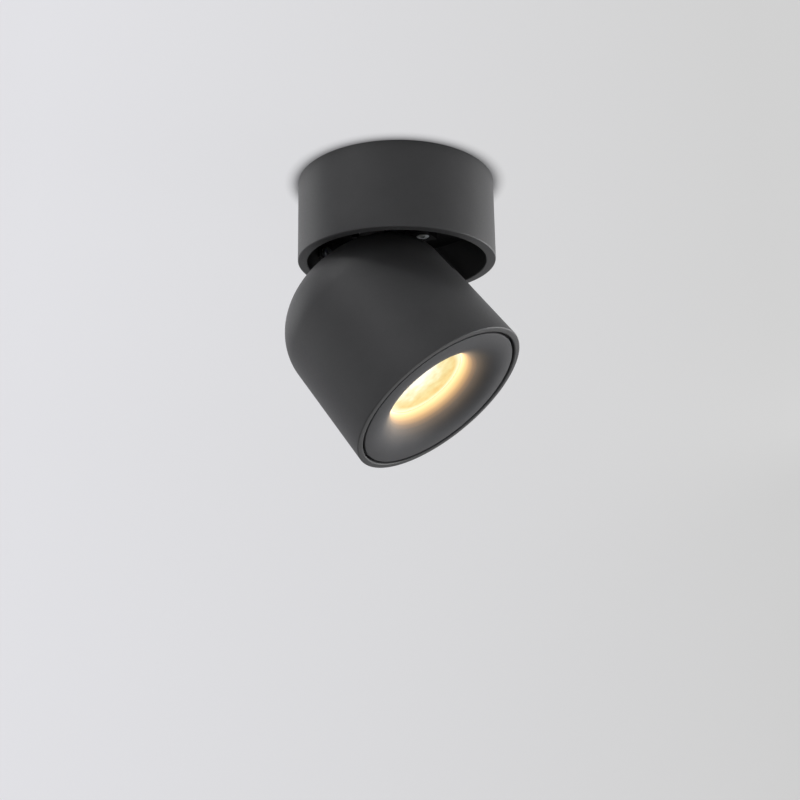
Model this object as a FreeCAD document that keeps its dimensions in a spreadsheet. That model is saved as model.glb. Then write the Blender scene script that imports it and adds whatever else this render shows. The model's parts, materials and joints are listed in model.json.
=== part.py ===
# Surface mounted ceiling spotlight with a swivelling, tilting head.
# Millimetres, +Z up. The origin is the middle of the ceiling face; the lamp hangs below it.
# The head tilts towards +X about a pin along Y, and is drawn at its rest tilt.
import FreeCAD, Part
import math
import os
import Sketcher
from FreeCAD import Placement, Rotation, Vector

doc = FreeCAD.newDocument("ceiling_spotlight")

# ---------------------------------------------------------------- driving dimensions

DRIVING = {
    # canopy
    "canopy_radius": 40.0,
    "canopy_height": 33.0,
    "canopy_wall": 3.8,
    "edge_break": 0.5,            # small rounding on turned outer edges
    "fit_gap": 0.05,              # radial clearance of a running or sliding fit
    "cavity_top": 14.0,           # ceiling to the underside of the base plate
    "base_thickness": 2.0,
    "tab_length": 10.0,
    "tab_width": 9.0,
    "tab_thickness": 1.2,
    "tab_screw_drop": 21.5,       # ceiling to the screws in the tabs
    "blind_hole_depth": 2.6,
    # ceiling plate
    "plate_gap": 0.6,             # ceiling plate to the canopy's bore
    "plate_thickness": 1.5,
    "slot_inset": 9.6,            # plate's rim to the middle of a ceiling slot
    "slot_width": 4.4,
    "slot_travel": 7.0,
    "cable_hole_radius": 6.0,
    "standoff_inset": 8.2,        # canopy's bore to the middle of a standoff
    "standoff_angle": 48.0,
    "standoff_radius": 3.0,
    # swivel
    "stud_radius": 5.0,
    "stud_bore": 3.2,
    "stud_rise": 3.0,             # thread that stands above the nut
    "washer_radius": 9.0,
    "washer_thickness": 0.5,
    "wave_thickness": 1.0,
    "friction_inset": 3.0,        # turntable's rim to the friction washer's
    "nut_flats": 14.0,
    "nut_thickness": 3.5,
    "turntable_thickness": 3.0,
    "stop_tab_gap": 3.25,         # stop tab to the heads of the canopy screws
    "stop_tab_overlap": 2.0,      # how far the tab reaches past the middle of the stop pin
    "stop_tab_width": 6.0,
    "stop_pin_radius": 1.5,
    "stop_pin_gap": 2.5,          # turntable's rim to the stop pin
    "lead_channel": 5.0,
    # hinge arm
    "arm_thickness": 2.5,
    "arm_width": 10.0,
    "foot_margin": 2.25,          # metal beyond the heads of the foot screws
    "arm_bend": 1.0,
    "head_clearance": 2.1,        # arm's foot to the top of the dome as it tilts past
    "rest_tilt": 39.0,
    "tilt_limit": 70.0,
    # head shell
    "head_radius": 38.0,
    "head_side": 47.0,            # straight length of the side, from the face
    "dome_bow": 23.5,             # rounding from the side into the flat back
    "rim_wall": 2.45,             # wall round the trim, at the face
    "shell_wall": 4.0,
    "slot_clearance": 1.0,
    "boss_radius": 3.0,
    "boss_inset": 3.9,            # head's bore to the middle of a boss
    "boss_length": 10.0,
    # heat sink
    "sink_seat": 24.0,            # face to the ledge that the heat sink sits on
    "sink_thickness": 2.8,
    "sink_gap": 0.2,
    "fin_thickness": 1.2,
    "first_fin": 11.0,
    "last_fin_inset": 3.9,        # the fins' envelope to the middle of the last fin
    "fin_height": 24.0,
    "fin_gap": 1.1,               # the fins' envelope to the bosses
    "arm_gap": 0.4,               # the arm's end to the heat sink's plate
    "ear_thickness": 3.0,
    "ear_width": 13.0,
    "ear_top": 5.5,
    "pivot_radius": 2.0,
    "pivot_head_radius": 3.5,
    "pivot_head_height": 2.4,
    "pivot_nut_flats": 7.0,
    "pivot_nut_height": 2.4,
    "shim_thickness": 0.5,
    # light engine
    "chip_side": 13.5,
    "chip_thickness": 1.0,
    "emitter_radius": 4.5,
    "emitter_thickness": 0.4,
    "holder_radius": 13.5,
    "holder_thickness": 2.0,
    "holder_window": 5.4,
    "holder_screw_inset": 2.3,    # holder's rim to the middle of its screws
    # optics
    "trim_recess": 0.35,
    "trim_groove": 1.0,           # dark gap round the trim at the face
    "groove_depth": 2.4,
    "land_width": 2.55,           # the flat ring, before it turns into the curved throat
    "throat_bow": 16.0,
    "throat_depth": 10.0,
    "trim_wall": 1.6,
    "trim_skirt": 8.0,
    "lip_length": 0.7,
    "collar_wall": 1.4,
    "lens_lap": 1.3,              # how far the lens reaches past the throat
    "lens_thickness": 1.5,
    "gasket_thickness": 0.6,
    "gasket_width": 1.5,
    "reflector_wall": 0.8,
    "snap_ring_depth": 6.0,
    "snap_ring_side": 0.8,
    "snap_ring_opening": 16.0,
    # screws
    "screw_radius": 1.5,
    "screw_head_radius": 2.75,
    "screw_head_height": 1.8,
    "small_screw_radius": 1.0,
    "small_head_radius": 1.9,
    "small_head_height": 1.3,
    "socket_flats": 2.0,
    # driver
    "board_thickness": 1.6,
    "board_edge_gap": 1.7,        # board's corners to the canopy's bore
    "board_washer_gap": 2.0,      # board to the swivel's washer
    "board_side_gap": 0.8,        # board to the standoffs
    "board_spacer": 1.4,
    "sheet_thickness": 0.4,
    "terminal_length": 10.0,
    "terminal_width": 18.0,
    "terminal_height": 7.6,
    "terminal_gap": 6.0,          # terminal block to the swivel's washer
}

sheet = doc.addObject("Spreadsheet::Sheet", "Sizes")
for row, (alias, size) in enumerate(DRIVING.items(), start=1):
    sheet.set(f"A{row}", alias)
    sheet.set(f"B{row}", str(size))
    sheet.setAlias(f"B{row}", alias)
doc.recompute()


class Length:
    """A size with the sheet formula that it comes from, so that arithmetic gives both."""

    def __init__(self, value, formula):
        self.value = value
        self.formula = formula

    def join(self, other, sign, value, swap=False):
        formula = other.formula if isinstance(other, Length) else repr(float(other))
        pair = (formula, self.formula) if swap else (self.formula, formula)
        return Length(value, f"({pair[0]} {sign} {pair[1]})")

    def __add__(self, other):
        return self.join(other, "+", self.value + number(other))

    def __radd__(self, other):
        return self.join(other, "+", number(other) + self.value, swap=True)

    def __sub__(self, other):
        return self.join(other, "-", self.value - number(other))

    def __rsub__(self, other):
        return self.join(other, "-", number(other) - self.value, swap=True)

    def __mul__(self, other):
        return self.join(other, "*", self.value * number(other))

    def __rmul__(self, other):
        return self.join(other, "*", number(other) * self.value, swap=True)

    def __truediv__(self, other):
        return self.join(other, "/", self.value / number(other))

    def __neg__(self):
        return 0 - self


def number(size):
    return size.value if isinstance(size, Length) else float(size)


def root(size):
    return Length(math.sqrt(number(size)), f"sqrt({size.formula})")


def sine(angle):
    return Length(math.sin(math.radians(number(angle))), f"sin({angle.formula})")


def cosine(angle):
    return Length(math.cos(math.radians(number(angle))), f"cos({angle.formula})")


class Sizes:
    """Every driving dimension under its own name."""


dim = Sizes()
for alias, size in DRIVING.items():
    setattr(dim, alias, Length(size, f"Sizes.{alias}"))

# ---------------------------------------------------------------- ways of making a piece


def bind(thing, target, size):
    """Set a property or a constraint, and tie it to the sheet where the size comes from there."""
    if isinstance(size, Length):
        thing.setExpression(target, size.formula)


def move(thing, x=0, y=0, z=0, turn=Rotation()):
    thing.Placement = Placement(Vector(number(x), number(y), number(z)), turn)
    bind(thing, "Placement.Base.x", x)
    bind(thing, "Placement.Base.y", y)
    bind(thing, "Placement.Base.z", z)
    return thing


ALONG = {
    "x": Rotation(Vector(0, 1, 0), 90),
    "y": Rotation(Vector(1, 0, 0), -90),
    "z": Rotation(),
    "-z": Rotation(Vector(1, 0, 0), 180),
}


def rod(radius, height, x=0, y=0, z=0, turn=ALONG["z"]):
    piece = doc.addObject("Part::Cylinder", "Rod")
    bind(piece, "Radius", radius)
    bind(piece, "Height", height)
    return move(piece, x, y, z, turn)


def block(length, width, height, x=0, y=0, z=0):
    """A box that stands on height z, with its middle over x, y."""
    piece = doc.addObject("Part::Box", "Block")
    bind(piece, "Length", length)
    bind(piece, "Width", width)
    bind(piece, "Height", height)
    return move(piece, x - length / 2, y - width / 2, z)


def hexagon(flats, height, x=0, y=0, z=0, turn=ALONG["z"]):
    piece = doc.addObject("Part::Prism", "Hexagon")
    piece.Polygon = 6
    bind(piece, "Circumradius", flats / math.sqrt(3))
    bind(piece, "Height", height)
    return move(piece, x, y, z, turn)


def fuse(*pieces):
    joined = doc.addObject("Part::MultiFuse", "Joined")
    joined.Shapes = list(pieces)
    joined.Refine = True
    return joined


def cut(base, *tools):
    holed = doc.addObject("Part::Cut", "Holed")
    holed.Base = base
    holed.Tool = tools[0] if len(tools) == 1 else fuse(*tools)
    return holed


def common(first, second):
    shared = doc.addObject("Part::Common", "Shared")
    shared.Base = first
    shared.Tool = second
    return shared


def group(*pieces):
    loose = doc.addObject("Part::Compound", "Group")
    loose.Links = list(pieces)
    return loose


def bowed_side(start, end, bow, centre_side):
    """The arc of radius bow between two corners, its centre left (1) or right (-1) of the way."""
    chord = end - start
    across = Vector(-chord.y, chord.x, 0).normalize() * centre_side
    rise = math.sqrt(max(bow ** 2 - (chord.Length / 2) ** 2, 0.0))
    centre = (start + end) / 2 + across * rise
    first, last = (start, end) if centre_side > 0 else (end, start)
    first_angle = math.atan2(first.y - centre.y, first.x - centre.x)
    last_angle = math.atan2(last.y - centre.y, last.x - centre.x)
    if last_angle < first_angle:
        last_angle += 2 * math.pi
    circle = Part.Circle(centre, Vector(0, 0, 1), bow)
    return Part.ArcOfCircle(circle, first_angle, last_angle)


def hold(sketch, kind, side, end, size):
    """Hold one corner of an outline by its distance from the sketch's origin."""
    if isinstance(size, Length):
        index = sketch.addConstraint(Sketcher.Constraint(kind, -1, 1, side, end, size.value))
        bind(sketch, f"Constraints[{index}]", size)
    else:
        axis = -2 if kind == "DistanceX" else -1
        sketch.addConstraint(Sketcher.Constraint("PointOnObject", side, end, axis))


def outlined(name, plane, corners):
    """A body with one closed outline. A corner is (across, up), or (across, up, bow, side)
    where the side that leaves it is an arc."""
    body = doc.addObject("PartDesign::Body", name)
    sketch = body.newObject("Sketcher::SketchObject", f"{name}_outline")
    support = next(face for face in body.Origin.OriginFeatures if face.Role == plane)
    sketch.AttachmentSupport = (support, [""])
    sketch.MapMode = "FlatFace"
    points = [Vector(number(corner[0]), number(corner[1]), 0) for corner in corners]
    starts, ends = [], []
    for index, corner in enumerate(corners):
        start, end = points[index], points[(index + 1) % len(points)]
        if len(corner) == 2:
            sketch.addGeometry(Part.LineSegment(start, end))
            starts.append(1)
            ends.append(2)
        else:
            sketch.addGeometry(bowed_side(start, end, number(corner[2]), corner[3]))
            starts.append(1 if corner[3] > 0 else 2)
            ends.append(2 if corner[3] > 0 else 1)
    for index in range(len(corners)):
        following = (index + 1) % len(corners)
        meet = Sketcher.Constraint("Coincident", index, ends[index], following, starts[following])
        sketch.addConstraint(meet)
    for index, corner in enumerate(corners):
        hold(sketch, "DistanceX", index, starts[index], corner[0])
        hold(sketch, "DistanceY", index, starts[index], corner[1])
        if len(corner) > 2:
            bow = sketch.addConstraint(Sketcher.Constraint("Radius", index, number(corner[2])))
            bind(sketch, f"Constraints[{bow}]", corner[2])
    return body, sketch


def turned(name, corners):
    """A lathe-turned piece: its half section is turned once about the Z axis."""
    body, sketch = outlined(name, "XZ_Plane", corners)
    turning = body.newObject("PartDesign::Revolution", f"{name}_turning")
    turning.Profile = sketch
    turning.ReferenceAxis = (sketch, ["V_Axis"])
    turning.Angle = 360
    return body


def pressed(name, plane, corners, width):
    """A flat outline given a width, half of it on each side of the plane."""
    body, sketch = outlined(name, plane, corners)
    pad = body.newObject("PartDesign::Pad", f"{name}_pad")
    pad.Profile = sketch
    pad.SideType = "Symmetric"
    bind(pad, "Length", width)
    return body


def ring(name, inner, outer, low, high):
    """A plain washer or sleeve between two heights."""
    return turned(name, [(inner, low), (outer, low), (outer, high), (inner, high)])


def disc(name, radius, low, high):
    return turned(name, [(0, low), (radius, low), (radius, high), (0, high)])


def screw(radius, length, head_radius, head_height, x=0, y=0, z=0, turn=ALONG["z"]):
    """A cap screw: its head starts at the given point and its shank runs on along +Z."""
    head = rod(head_radius, head_height)
    shank = rod(radius, length, z=head_height)
    socket = hexagon(dim.socket_flats, head_height / 2)
    whole = cut(fuse(head, shank), socket)
    return move(whole, x, y, z, turn)


def polar(circle, angle):
    """The point at an angle, in degrees, on a circle about the axis."""
    turn = angle if isinstance(angle, Length) else Length(angle, repr(float(angle)))
    return circle * cosine(turn), circle * sine(turn)


nodes = {}


def keep(name, piece):
    """Give a finished sub-part its name, in the canopy or on the swivel."""
    piece.Label = name
    nodes[name] = piece
    return piece


def keep_in_head(name, piece):
    """Give a finished sub-part its name and tilt it into the head. Head pieces are drawn with
    the lamp's face at height 0 and its back upwards."""
    piece.Placement = Placement(Vector(), Rotation(Vector(0, -1, 0), number(dim.rest_tilt)))
    bind(piece, "Placement.Base.x", pivot_depth * sine(dim.rest_tilt))
    bind(piece, "Placement.Base.z", -pivot_drop - pivot_depth * cosine(dim.rest_tilt))
    bind(piece, "Placement.Rotation.Angle", dim.rest_tilt)
    return keep(name, piece)


# ---------------------------------------------------------------- ceiling plate

canopy_bore = dim.canopy_radius - dim.canopy_wall
cavity_top = -dim.cavity_top
base_top = cavity_top + dim.base_thickness
screw_hole = dim.screw_radius + dim.fit_gap
small_screw_hole = dim.small_screw_radius + dim.fit_gap
plate_radius = canopy_bore - dim.plate_gap
slot_centre = plate_radius - dim.slot_inset
standoff_circle = canopy_bore - dim.standoff_inset


def mounting_plate():
    """A steel disc with two ceiling screw slots, a cable hole and two standoff holes."""
    plate = disc("plate", plate_radius, -dim.plate_thickness, 0)
    tools = [rod(dim.cable_hole_radius, dim.plate_thickness * 2, z=-dim.plate_thickness * 1.5)]
    for side in (1, -1):
        middle = slot_centre * side
        tools.append(block(dim.slot_width, dim.slot_travel, dim.plate_thickness * 2,
                           y=middle, z=-dim.plate_thickness * 1.5))
        for end in (1, -1):
            tools.append(rod(dim.slot_width / 2, dim.plate_thickness * 2,
                             y=middle + dim.slot_travel / 2 * end, z=-dim.plate_thickness * 1.5))
        x, y = polar(standoff_circle * side, dim.standoff_angle)
        tools.append(rod(screw_hole, dim.plate_thickness * 2, x, y, -dim.plate_thickness * 1.5))
    return cut(plate, *tools)


def plate_standoffs():
    """Two threaded posts that hang from the plate and stop on the base plate."""
    height = -dim.plate_thickness - base_top
    posts = []
    for side in (1, -1):
        x, y = polar(standoff_circle * side, dim.standoff_angle)
        post = rod(dim.standoff_radius, height, x, y, base_top)
        bore = rod(screw_hole, height * 2, x, y, base_top - height / 2)
        posts.append(cut(post, bore))
    return group(*posts)


def cable_grommet():
    """A rubber ring with a groove that grips the edge of the plate's cable hole."""
    low = -dim.plate_thickness - dim.washer_thickness * 2
    neck = dim.cable_hole_radius
    bore = neck - dim.washer_thickness * 4
    lip = neck + dim.washer_thickness * 3
    return turned("grommet", [
        (bore, low),
        (lip, low),
        (lip, -dim.plate_thickness),
        (neck, -dim.plate_thickness),
        (neck, 0),
        (bore, 0),
    ])


keep("mounting_plate", mounting_plate())
keep("plate_standoffs", plate_standoffs())
keep("cable_grommet", cable_grommet())

# ---------------------------------------------------------------- canopy and base plate

TAB_ANGLES = (0.0, 180.0)


def outward_at(angle):
    """The turn that points a piece's Z axis away from the canopy's axis."""
    return Rotation(Vector(0, 0, 1), angle).multiply(ALONG["x"])


def canopy_housing():
    """A turned aluminium tube with rounded rims and two blind screw holes inside."""
    low = -dim.canopy_height
    edge = dim.edge_break
    tube = turned("housing", [
        (canopy_bore + edge, low, edge, -1),
        (canopy_bore, low + edge),
        (canopy_bore, 0),
        (dim.canopy_radius, 0),
        (dim.canopy_radius, low + edge, edge, -1),
        (dim.canopy_radius - edge, low),
    ])
    holes = []
    for angle in TAB_ANGLES:
        x, y = polar(canopy_bore - dim.blind_hole_depth, angle)
        holes.append(rod(screw_hole, dim.blind_hole_depth * 2, x, y, -dim.tab_screw_drop,
                         outward_at(angle)))
    return cut(tube, *holes)


def base_plate():
    """A steel disc that closes the canopy, with two tabs bent down against its bore."""
    outer = canopy_bore - dim.fit_gap
    plate = disc("base", outer, cavity_top, base_top)
    flange = ring("flange", tab_face, outer, cavity_top - dim.tab_length, base_top)
    tabs = common(flange, block(outer * 2, dim.tab_width, dim.tab_length + dim.base_thickness,
                                z=cavity_top - dim.tab_length))
    through = dim.base_thickness * 3
    below = cavity_top - dim.base_thickness
    tools = [rod(dim.stud_radius + dim.fit_gap, through, z=below)]
    for side in (1, -1):
        x, y = polar(standoff_circle * side, dim.standoff_angle)
        tools.append(rod(screw_hole, through, x, y, below))
        tools.append(rod(small_screw_hole, through, -board_centre, board_hole_y * side, below))
    for angle in TAB_ANGLES:
        x, y = polar(tab_face - dim.tab_thickness, angle)
        tools.append(rod(screw_hole, dim.tab_thickness * 4, x, y, -dim.tab_screw_drop,
                         outward_at(angle)))
    pin = rod(dim.stop_pin_radius, through, -stop_pin_circle, 0, below)
    return cut(fuse(plate, tabs), *tools, pin)


def tab_screws():
    """A cap screw through each tab into the canopy's wall."""
    seat = root(tab_face * tab_face - dim.screw_head_radius * dim.screw_head_radius)
    length = dim.tab_thickness + dim.blind_hole_depth
    made = []
    for angle in TAB_ANGLES:
        x, y = polar(seat - dim.screw_head_height, angle)
        made.append(screw(dim.screw_radius, length, dim.screw_head_radius, dim.screw_head_height,
                          x, y, -dim.tab_screw_drop, outward_at(angle)))
    return group(*made)


def canopy_screws():
    """Two long screws from below, through the base plate, up into the standoffs."""
    made = []
    length = dim.base_thickness + (-dim.plate_thickness - base_top)
    for side in (1, -1):
        x, y = polar(standoff_circle * side, dim.standoff_angle)
        made.append(screw(dim.screw_radius, length, dim.screw_head_radius, dim.screw_head_height,
                          x, y, cavity_top - dim.screw_head_height))
    return group(*made)


tab_face = canopy_bore - dim.fit_gap - dim.tab_thickness
stop_tab_reach = standoff_circle - dim.screw_head_radius - dim.stop_tab_gap
stop_pin_circle = stop_tab_reach - dim.stop_tab_overlap
turntable_radius = stop_pin_circle - dim.stop_pin_radius - dim.stop_pin_gap
standoff_y = standoff_circle * sine(dim.standoff_angle)
board_width = (standoff_y - dim.standoff_radius - dim.board_side_gap) * 2
board_corner = canopy_bore - dim.board_edge_gap
board_outer = root(board_corner * board_corner - board_width * board_width / 4)
board_inner = dim.washer_radius + dim.board_washer_gap
board_length = board_outer - board_inner
board_centre = (board_outer + board_inner) / 2
board_hole_y = board_width / 2 - dim.small_head_radius - dim.sheet_thickness
terminal_centre = dim.washer_radius + dim.terminal_gap + dim.terminal_length / 2
keep("canopy_housing", canopy_housing())
keep("base_plate", base_plate())
keep("tab_screws", tab_screws())
keep("canopy_screws", canopy_screws())

# ---------------------------------------------------------------- driver and terminals

sheet_top = base_top + dim.sheet_thickness
board_low = sheet_top + dim.board_spacer
board_top = board_low + dim.board_thickness


def insulation_sheet():
    """A stiff film between the base plate and the driver board."""
    film = block(board_length, board_width, dim.sheet_thickness,
                 x=-board_centre, z=base_top)
    holes = [rod(small_screw_hole, dim.sheet_thickness * 3, -board_centre,
                 board_hole_y * side, base_top - dim.sheet_thickness) for side in (1, -1)]
    return cut(film, *holes)


def driver_board():
    """The driver's circuit board, with a hole at each end for its screws."""
    board = block(board_length, board_width, dim.board_thickness,
                  x=-board_centre, z=board_low)
    holes = [rod(small_screw_hole, dim.board_thickness * 3, -board_centre,
                 board_hole_y * side, board_low - dim.board_thickness) for side in (1, -1)]
    return cut(board, *holes)


def driver_spacers():
    """Two nylon sleeves that hold the board off the sheet."""
    made = []
    for side in (1, -1):
        y = board_hole_y * side
        sleeve = rod(dim.small_head_radius, dim.board_spacer, -board_centre, y, sheet_top)
        bore = rod(small_screw_hole, dim.board_spacer * 3, -board_centre, y,
                   sheet_top - dim.board_spacer)
        made.append(cut(sleeve, bore))
    return group(*made)


def driver_screws():
    """Two small screws down through the board and spacers into the base plate."""
    length = board_top - cavity_top
    made = []
    for side in (1, -1):
        made.append(screw(dim.small_screw_radius, length, dim.small_head_radius,
                          dim.small_head_height, -board_centre, board_hole_y * side,
                          board_top + dim.small_head_height, ALONG["-z"]))
    return group(*made)


def driver_transformer():
    """The driver's wound transformer: a core with its coil former through the middle."""
    height = dim.terminal_height * 0.7
    core = block(board_length * 0.45, board_width * 0.3, height,
                 x=-board_centre - board_length * 0.12, z=board_top)
    coil = block(board_length * 0.6, board_width * 0.18, height * 0.8,
                 x=-board_centre - board_length * 0.12, z=board_top)
    return fuse(core, coil)


def driver_capacitors():
    """Two smoothing capacitors that lie on the board."""
    radius = dim.board_thickness * 1.5
    made = []
    for side in (1, -1):
        y = board_width * 0.27 * side
        made.append(rod(radius, board_length * 0.5, -board_centre - board_length * 0.35,
                        y, board_top + radius, ALONG["x"]))
    return group(*made)


def terminal_block():
    """The mains terminal: a moulded block with three cable entries and three screw wells."""
    body = block(dim.terminal_length, dim.terminal_width, dim.terminal_height,
                 x=terminal_centre, z=base_top)
    pitch = dim.terminal_width / 3
    tools = []
    for place in (-1, 0, 1):
        tools.append(rod(terminal_entry, dim.terminal_length * 2,
                         terminal_centre - dim.terminal_length, pitch * place,
                         base_top + terminal_entry * 1.6, ALONG["x"]))
        tools.append(rod(dim.small_head_radius + dim.fit_gap, dim.terminal_height,
                         terminal_centre, pitch * place, well_floor))
    return cut(body, *tools)


def terminal_screws():
    """One clamping screw in each well, head up."""
    pitch = dim.terminal_width / 3
    return group(*[cut(rod(dim.small_head_radius, dim.small_head_height, terminal_centre,
                           pitch * place, well_floor),
                       block(dim.small_head_radius * 2, dim.sheet_thickness,
                             dim.small_head_height, terminal_centre, pitch * place,
                             well_floor + dim.small_head_height / 2))
                   for place in (-1, 0, 1)])


terminal_entry = dim.terminal_height / 5
well_floor = base_top + dim.terminal_height * 0.65
keep("insulation_sheet", insulation_sheet())
keep("driver_board", driver_board())
keep("driver_spacers", driver_spacers())
keep("driver_screws", driver_screws())
keep("driver_transformer", driver_transformer())
keep("driver_capacitors", driver_capacitors())
keep("terminal_block", terminal_block())
keep("terminal_screws", terminal_screws())

# ---------------------------------------------------------------- swivel

friction_low = cavity_top - dim.washer_thickness
turntable_low = friction_low - dim.turntable_thickness
pivot_depth = dim.sink_seat + dim.arm_gap + dim.arm_width / 2
dome_flat = dim.head_radius - dim.dome_bow
dome_middle = dim.head_side - pivot_depth
dome_reach = root(dome_flat * dome_flat + dome_middle * dome_middle) + dim.dome_bow
pivot_drop = -turntable_low + dim.arm_thickness + dim.head_clearance + dome_reach
wave_low = base_top + dim.washer_thickness
nut_low = wave_low + dim.wave_thickness
nut_top = nut_low + dim.nut_thickness
stud_hole = dim.stud_radius + dim.fit_gap


def stop_pin():
    """A pin riveted in the base plate; the turntable's tab meets it at each end of the swivel."""
    pin = disc("stop_pin", dim.stop_pin_radius, turntable_low, base_top)
    return move(pin, -stop_pin_circle)


def turntable():
    """A steel disc with a stop tab, a hole for the stud and a channel for the leads."""
    thickness = dim.turntable_thickness
    plate = rod(turntable_radius, thickness, z=turntable_low)
    tab_length = stop_tab_reach - turntable_radius / 2
    tab = block(tab_length, dim.stop_tab_width, thickness,
                x=stop_tab_reach - tab_length / 2, z=turntable_low)
    channel = block(dim.lead_channel, turntable_radius, thickness * 2,
                    y=-turntable_radius, z=turntable_low - thickness / 2)
    tools = [rod(stud_hole, thickness * 3, z=turntable_low - thickness), channel]
    for side in (1, -1):
        tools.append(rod(screw_hole, thickness * 3, foot_screw_x * side, foot_screw_y,
                         turntable_low - thickness))
    return cut(fuse(plate, tab), *tools)


def hinge_arm():
    """A bent steel strip: a foot screwed under the turntable and a leg down to the tilt pin."""
    thick = dim.arm_thickness
    half = thick / 2
    top = turntable_low
    inner = dim.arm_bend
    outer = dim.arm_bend + thick
    strip = pressed("arm", "YZ_Plane", [
        (arm_foot, top),
        (outer - half, top, outer, 1),
        (-half, top - outer),
        (-half, -pivot_drop),
        (half, -pivot_drop),
        (half, top - outer, inner, -1),
        (half + inner, top - thick),
        (arm_foot, top - thick),
    ], dim.arm_width)
    end = rod(dim.arm_width / 2, thick, 0, -half, -pivot_drop, ALONG["y"])
    foot = block(foot_screw_x * 2 + dim.screw_head_radius * 3, arm_foot - half - inner,
                 thick, y=(arm_foot + half + inner) / 2, z=top - thick)
    bore = rod(dim.pivot_radius + dim.fit_gap, thick * 3, 0, -thick * 1.5, -pivot_drop,
               ALONG["y"])
    stud = rod(dim.stud_bore, thick * 3, z=top - thick * 1.5)
    tools = [bore]
    for side in (1, -1):
        tools.append(rod(screw_hole, thick * 3, foot_screw_x * side, foot_screw_y,
                         top - thick * 2))
        tools.append(rod(dim.screw_head_radius + dim.fit_gap, thick, foot_screw_x * side,
                         foot_screw_y, top - thick - sunk))
    return cut(fuse(strip, end, foot), *tools)


def arm_screws():
    """Two screws sunk into the foot and threaded up into the turntable."""
    length = dim.arm_thickness - sunk_depth + dim.turntable_thickness
    made = []
    for side in (1, -1):
        made.append(screw(dim.screw_radius, length, dim.screw_head_radius, sunk_depth,
                          foot_screw_x * side, foot_screw_y, turntable_low - dim.arm_thickness))
    return group(*made)


foot_screw_x = turntable_radius / 2
foot_screw_y = turntable_radius / 2
arm_foot = foot_screw_y + dim.screw_head_radius + dim.foot_margin
sunk_depth = dim.screw_head_height * 0.8
sunk = dim.arm_thickness - sunk_depth
keep("stop_pin", stop_pin())
keep("swivel_friction_washer", ring("friction", stud_hole, turntable_radius - dim.friction_inset,
                                    friction_low, cavity_top))
keep("swivel_washer", ring("washer", stud_hole, dim.washer_radius, base_top, wave_low))
keep("swivel_wave_spring", ring("wave", stud_hole, dim.washer_radius - dim.washer_thickness,
                                wave_low, nut_low))
keep("swivel_nut", cut(hexagon(dim.nut_flats, dim.nut_thickness, z=nut_low),
                       rod(stud_hole, dim.nut_thickness * 2, z=nut_low - dim.nut_thickness / 2)))
keep("swivel_stud", ring("stud", dim.stud_bore, dim.stud_radius, turntable_low,
                         nut_top + dim.stud_rise))
keep("turntable", turntable())
keep("hinge_arm", hinge_arm())
keep("arm_screws", arm_screws())

# ---------------------------------------------------------------- head shell

shell_inside = dim.head_radius - dim.shell_wall
head_bore = dim.head_radius - dim.rim_wall
inner_bow = dim.dome_bow - dim.shell_wall
head_length = dim.head_side + dim.dome_bow
BOSS_ANGLES = (60.0, 180.0, 300.0)
FINS_A_SIDE = 4
snap_high = dim.snap_ring_depth + dim.snap_ring_side + dim.fit_gap * 2
sink_low = dim.sink_seat - dim.sink_thickness
boss_circle = head_bore - dim.boss_inset
fin_envelope = boss_circle - dim.boss_radius - dim.fin_gap
limit_sine = sine(dim.tilt_limit)
arm_crossing = (shell_inside * cosine(dim.tilt_limit) - dim.arm_width / 2) / limit_sine
slot_start = pivot_depth + arm_crossing - dim.slot_clearance


def head_shell():
    """A turned aluminium cup with a rounded back, a slot for the arm and three bosses."""
    edge = dim.edge_break
    groove = head_bore + dim.snap_ring_side / 2
    cup = turned("shell", [
        (head_bore, edge, edge, 1),
        (head_bore + edge, 0),
        (dim.head_radius - edge, 0, edge, 1),
        (dim.head_radius, edge),
        (dim.head_radius, dim.head_side, dim.dome_bow, 1),
        (dome_flat, head_length),
        (0, head_length),
        (0, head_length - dim.shell_wall),
        (dome_flat, head_length - dim.shell_wall, inner_bow, -1),
        (shell_inside, dim.head_side),
        (shell_inside, dim.sink_seat),
        (head_bore, dim.sink_seat),
        (head_bore, snap_high),
        (groove, snap_high),
        (groove, dim.snap_ring_depth),
        (head_bore, dim.snap_ring_depth),
    ])
    bosses, pilots = [], []
    for angle in BOSS_ANGLES:
        x, y = polar(boss_circle, angle)
        bosses.append(rod(dim.boss_radius, dim.boss_length, x, y, dim.sink_seat))
        pilots.append(rod(screw_hole, dim.boss_length * 2, x, y, dim.sink_seat - dim.boss_length))
    slot_width = dim.arm_thickness + dim.slot_clearance * 2
    slot_end = dim.arm_width / 2 + dim.slot_clearance
    slot_length = dim.head_radius + slot_end + dim.shell_wall
    slot = block(slot_length, slot_width, head_length, x=slot_length / 2 - slot_end,
                 z=slot_start)
    return cut(fuse(cup, *bosses), *pilots, slot)


holder_screw_circle = dim.holder_radius - dim.holder_screw_inset


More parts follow.
